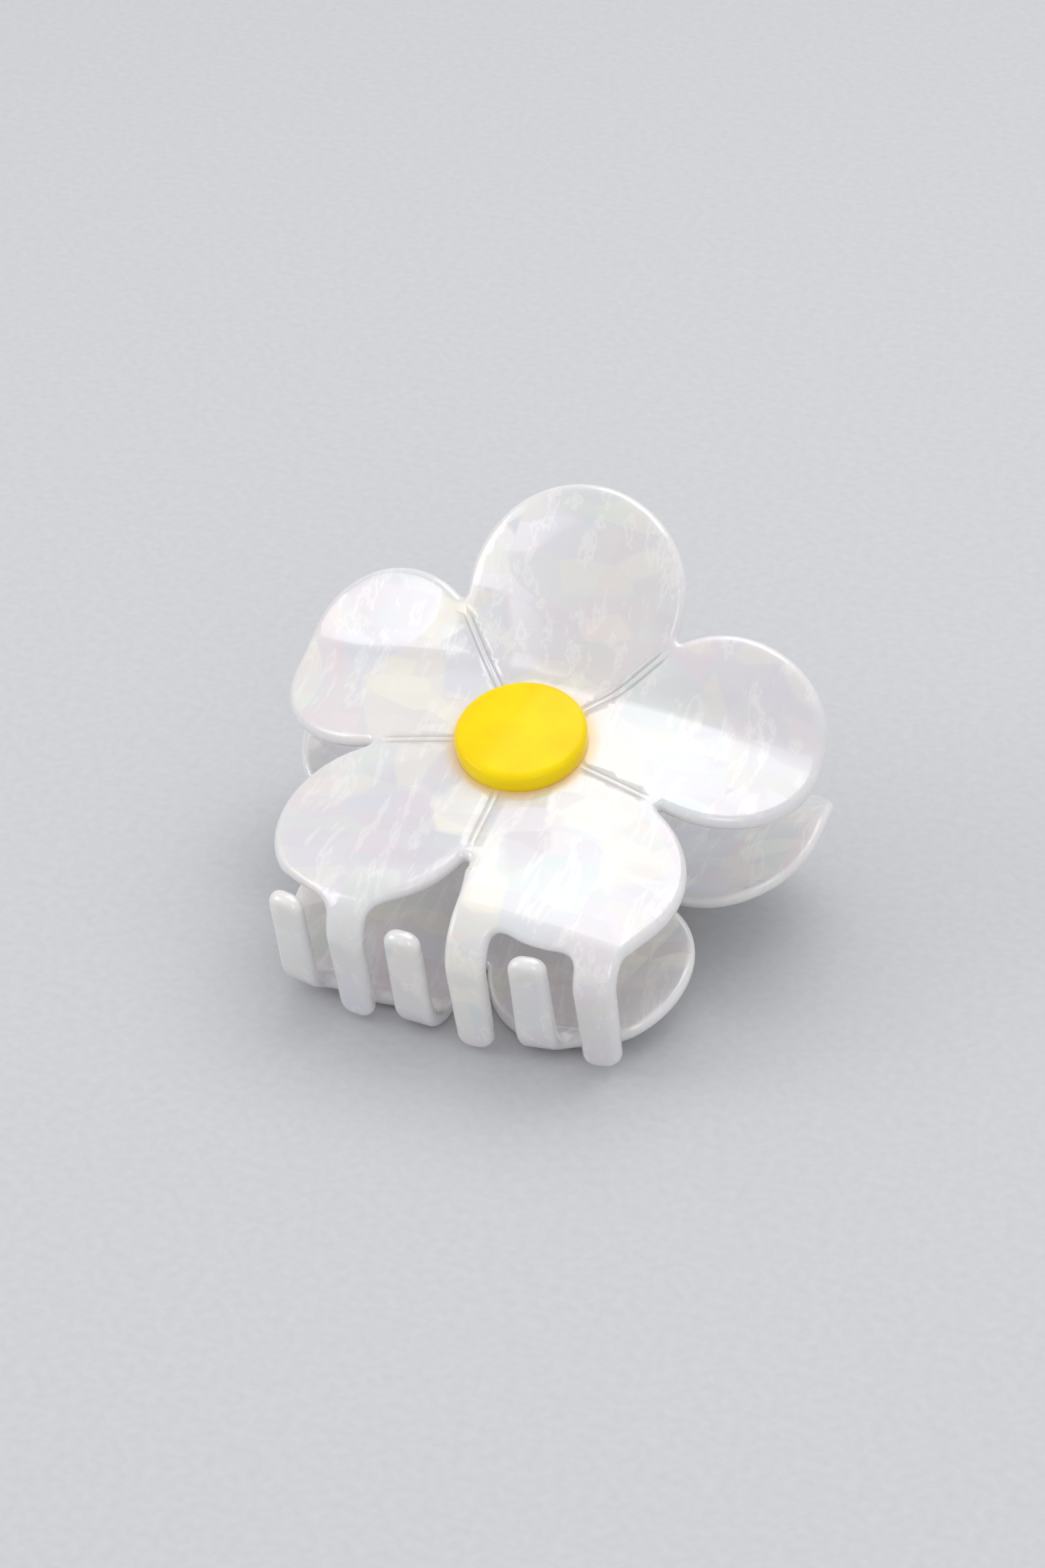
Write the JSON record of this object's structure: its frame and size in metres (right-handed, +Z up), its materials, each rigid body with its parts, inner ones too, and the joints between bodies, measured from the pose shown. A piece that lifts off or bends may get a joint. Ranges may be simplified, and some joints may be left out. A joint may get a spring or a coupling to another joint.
{
  "type": "flower hair clip",
  "caption": "Spring claw hair clip: flower-shaped jaws of pearly sheet with interleaved teeth and a round yellow centre, on a riveted torsion-spring hinge.",
  "frame": {"origin": "on the ground under the middle of the clip's overall box, as it lies at rest on its lower handle tip and the upper jaw's tooth tips", "axes": "+Z up, +X along the hinge pin, +Y from the teeth towards the handle petals"},
  "size_m": [0.0676, 0.0688, 0.0498],
  "materials": {
    "pearl_acetate": "polished mother-of-pearl acetate sheet",
    "yellow_acetate": "polished",
    "hinge_steel": "stamped, nickel plated",
    "pin_steel": "drawn wire, formed heads",
    "spring_steel": "drawn spring wire",
    "rivet_steel": "nickel plated"
  },
  "bodies": {
    "lower_half": {"lower_jaw": "pearl_acetate", "lower_disc": "yellow_acetate", "lower_hinge_leaf": "hinge_steel", "lower_rivet_left": "rivet_steel", "lower_rivet_right": "rivet_steel", "hinge_pin": "pin_steel", "torsion_spring": "spring_steel"},
    "upper_half": {"upper_jaw": "pearl_acetate", "upper_disc": "yellow_acetate", "upper_hinge_leaf": "hinge_steel", "upper_rivet_left": "rivet_steel", "upper_rivet_right": "rivet_steel"}
  },
  "joints": [
    {"name": "jaw_hinge", "type": "hinge", "parent": "lower_half", "child": "upper_half", "pos_m": [0, -0.00196, 0.01733], "axis": [-1, 0, 0], "range_deg": [0, 40], "stiffness_Nm_per_rad": 0.15, "springref_deg": -34.38, "deforming": ["torsion_spring"]}
  ]
}
